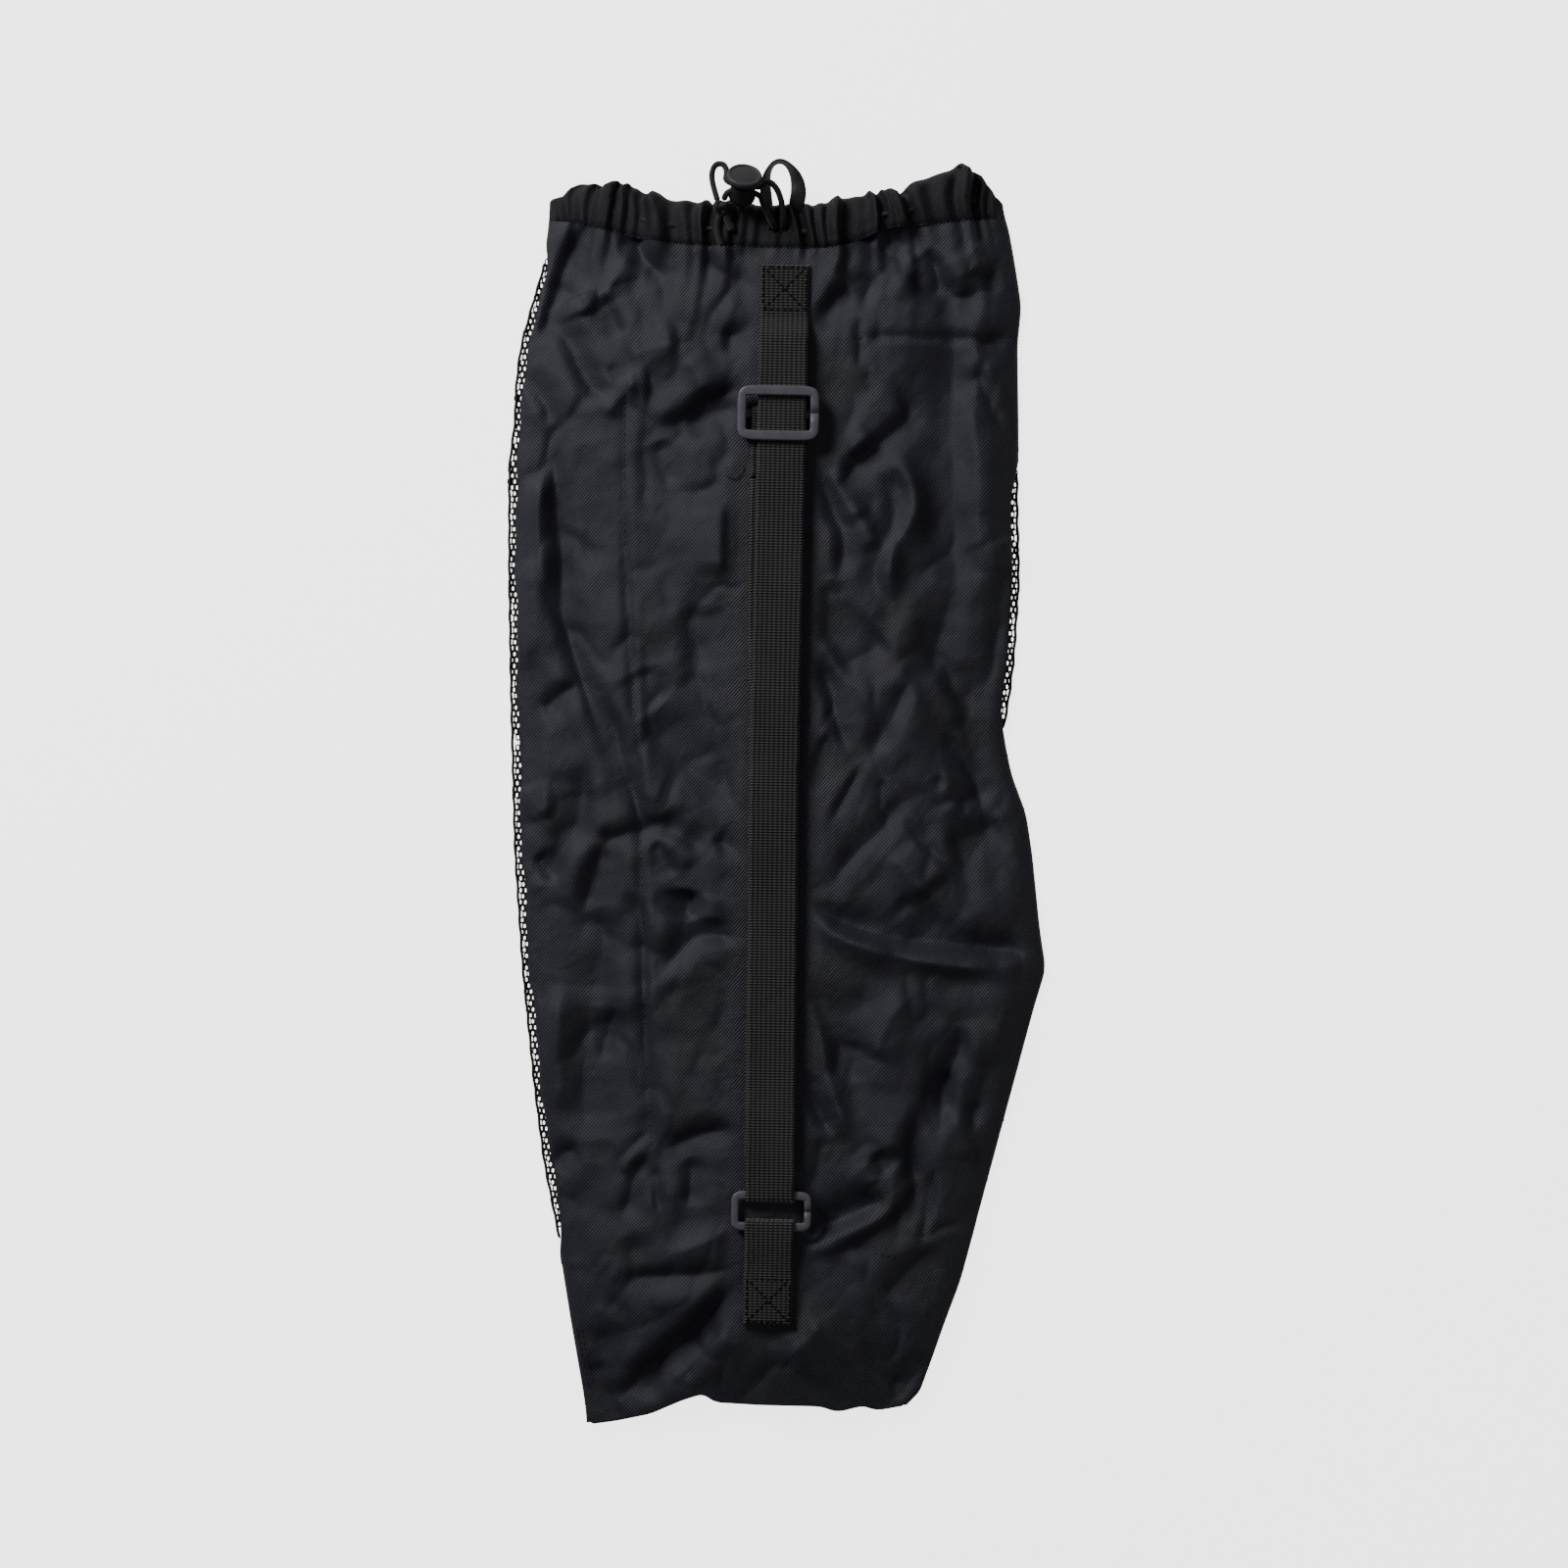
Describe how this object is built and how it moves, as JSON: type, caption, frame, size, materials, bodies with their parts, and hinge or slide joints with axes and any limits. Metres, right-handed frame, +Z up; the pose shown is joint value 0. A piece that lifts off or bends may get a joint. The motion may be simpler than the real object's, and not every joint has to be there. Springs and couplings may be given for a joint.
{
  "type": "drawstring carry bag",
  "caption": "Flat empty drawstring carry bag with a mesh back, a webbing shoulder strap with slider and ring, a sprung cord lock and a hang loop",
  "frame": {"origin": "middle of the bag's outline, on the surface that the bag lies on", "axes": "+Y from the folded base to the drawstring mouth, +X to the bag's right, +Z up from the mesh back to the strap side"},
  "size_m": [0.283, 0.652, 0.0363],
  "materials": {
    "twill": "black twill with a soft sheen, diagonal rib about 1.1 mm apart",
    "lining": "thin plain black cloth and overlocked edges",
    "mesh": "black knitted hexagon net",
    "thread": "black polyester thread",
    "webbing": "black ribbed webbing",
    "ribbon": "dark grey woven ribbon with a satin face",
    "cord": "black braided cord with lighter flecks",
    "slider_plastic": "moulded charcoal plastic, satin",
    "lock_plastic": "moulded charcoal plastic, satin, brighter on the button's rim",
    "spring_steel": "spring wire"
  },
  "bodies": {
    "bag": {"front_panel": "twill", "base_panel": "twill", "drawstring_casing": "twill", "inner_pocket": "lining", "left_seam_allowance": "lining", "right_seam_allowance": "lining", "back_mesh_panel": "mesh", "casing_stitching": "thread", "top_anchor_stitching": "thread", "lower_anchor_stitching": "thread", "shoulder_strap": "webbing", "strap_return_run": "webbing", "lower_anchor_strap": "webbing", "hang_loop": "ribbon", "drawstring": "cord", "drawstring_strand_near": "cord", "drawstring_strand_far": "cord", "drawstring_tail_near": "cord", "drawstring_tail_far": "cord", "drawstring_knot": "cord"},
    "slider": {"strap_slider": "slider_plastic", "strap_slider_wrap": "webbing", "slider_wrap_stitching": "thread"},
    "ring": {"lower_ring": "slider_plastic", "strap_ring_wrap": "webbing"},
    "lock": {"cord_lock_barrel": "lock_plastic", "cord_lock_spring": "spring_steel"},
    "button": {"cord_lock_button": "lock_plastic"}
  },
  "joints": [
    {"name": "slider_slide", "type": "slide", "parent": "bag", "child": "slider", "axis": [0, 1, 0], "range_m": [-0.34, 0.02], "deforming": ["strap_return_run"]},
    {"name": "ring_swing", "type": "hinge", "parent": "bag", "child": "ring", "pos_m": [0.0024, -0.222, 0.0203], "axis": [1, 0, 0], "range_deg": [0, 30]},
    {"name": "lock_slide", "type": "slide", "parent": "bag", "child": "lock", "axis": [0.9903, -0.1392, 0], "range_m": [0, 0.0015]},
    {"name": "button_press", "type": "slide", "parent": "lock", "child": "button", "axis": [-0.0967, -0.6879, -0.7193], "range_m": [0, 0.003], "stiffness_N_per_m": 400, "springref_m": -0.003}
  ]
}
